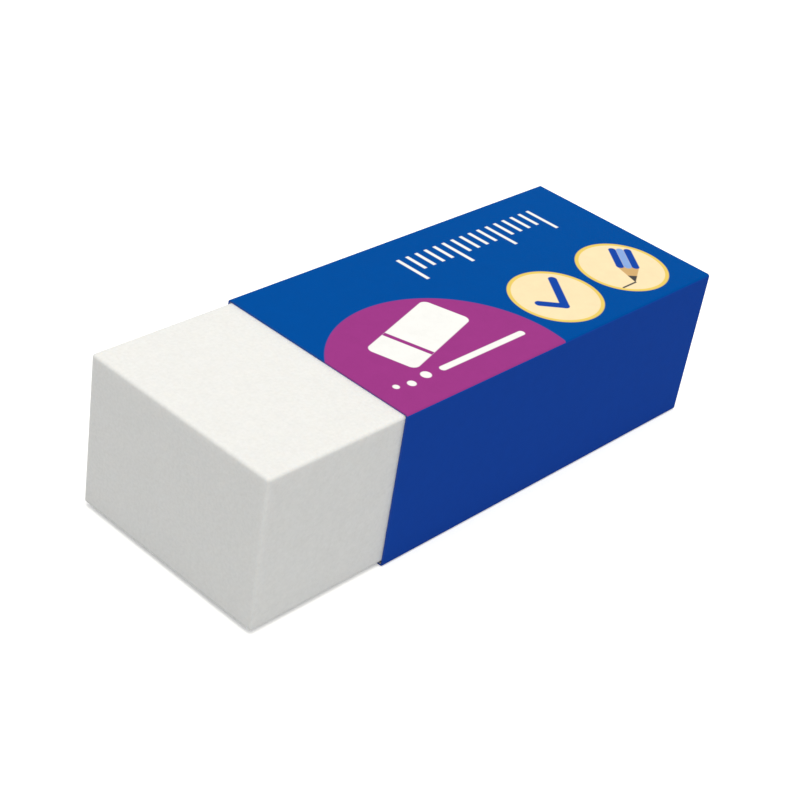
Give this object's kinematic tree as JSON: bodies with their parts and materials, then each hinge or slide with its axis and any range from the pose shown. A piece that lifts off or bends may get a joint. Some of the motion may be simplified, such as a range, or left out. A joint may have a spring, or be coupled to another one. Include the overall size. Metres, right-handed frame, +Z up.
{
  "type": "rubber eraser",
  "caption": "Rectangular block eraser with softened edges in a folded card sleeve, which slides along the block and pulls off over either end.",
  "frame": {"origin": "Bottom centre of the whole eraser: under the middle of the block, on the surface that the sleeve lies on.", "axes": "+X runs along the block, from its bare end at -X to the end that the sleeve covers. +Y runs across it, towards the side with the sleeve's seam. +Z is up."},
  "size_m": [0.046, 0.0174, 0.0125],
  "materials": {
    "vinyl": "satin",
    "card": "satin"
  },
  "bodies": {
    "block": {"eraser_block": "vinyl"},
    "sleeve": {"card_sleeve": "card"}
  },
  "joints": [
    {"name": "sleeve_slide", "type": "slide", "parent": "block", "child": "sleeve", "axis": [1, 0, 0], "range_m": [-0.042, 0.03]}
  ]
}
